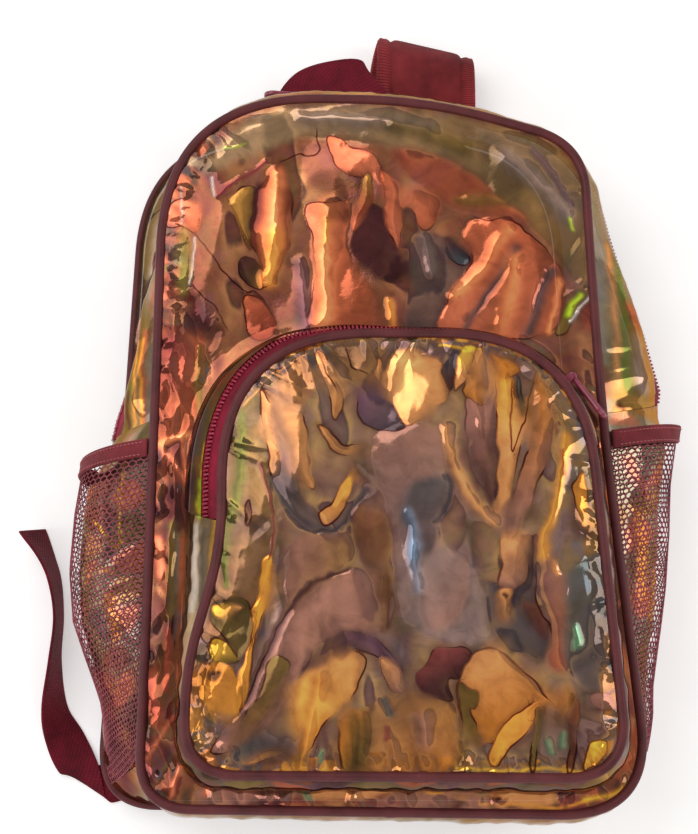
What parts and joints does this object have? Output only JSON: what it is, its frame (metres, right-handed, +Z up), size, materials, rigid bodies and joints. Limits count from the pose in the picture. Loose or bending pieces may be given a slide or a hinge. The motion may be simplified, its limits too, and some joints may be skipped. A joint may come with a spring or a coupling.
{
  "type": "clear holographic backpack",
  "caption": "Zipped backpack of clear iridescent film with corded piping, a zipped front pocket, net side pockets and padded shoulder straps, lying on its back.",
  "frame": {"origin": "middle of the bag's box in plan, on the surface it lies on", "axes": "+X to the right side seen from the front, +Y to the top of the bag, +Z up out of the front panel"},
  "size_m": [0.4088, 0.5084, 0.129],
  "materials": {
    "film": "clear iridescent film",
    "piping": "satin vinyl",
    "zip_tape": "woven tape",
    "zip_teeth": "moulded",
    "net": "open net",
    "webbing": "woven webbing",
    "padding": "padded cloth",
    "label": "plain patch",
    "buckle": "moulded"
  },
  "bodies": {
    "bag": {"front_panel": "film", "pocket_front": "film", "back_panel": "padding", "inside_label": "label", "front_piping": "piping", "back_piping": "piping", "pocket_piping": "piping", "gusset_lower": "film", "gusset_upper_back": "film", "main_zip_tape_back": "zip_tape", "main_zip_tape_front": "zip_tape", "gusset_upper_front": "film", "main_zip_chain": "zip_teeth", "pocket_gusset": "film", "pocket_zip_tape_front": "zip_tape", "pocket_zip_tape_back": "zip_tape", "pocket_zip_chain": "zip_teeth", "pocket_slider": "zip_teeth", "main_slider": "zip_teeth", "left_mesh_pocket": "net", "left_mesh_binding": "zip_tape", "right_mesh_pocket": "net", "right_mesh_binding": "zip_tape", "left_strap": "padding", "right_strap": "padding", "left_webbing": "webbing", "right_webbing": "webbing", "haul_loop": "webbing", "left_buckle": "buckle", "right_buckle": "buckle"},
    "pocket_pull": {"pocket_pull": "zip_teeth"},
    "main_pull": {"main_pull": "zip_teeth"}
  },
  "joints": [
    {"name": "pocket_pull_hinge", "type": "hinge", "parent": "bag", "child": "pocket_pull", "pos_m": [0.1307, -0.00201, 0.10804], "axis": [-0.2723, -0.2048, 0.9402], "range_deg": [0, 170]},
    {"name": "main_pull_hinge", "type": "hinge", "parent": "bag", "child": "main_pull", "pos_m": [-0.02171, 0.19666, 0.0562], "axis": [0.0014, 0.1269, -0.9919], "range_deg": [0, 170]}
  ]
}
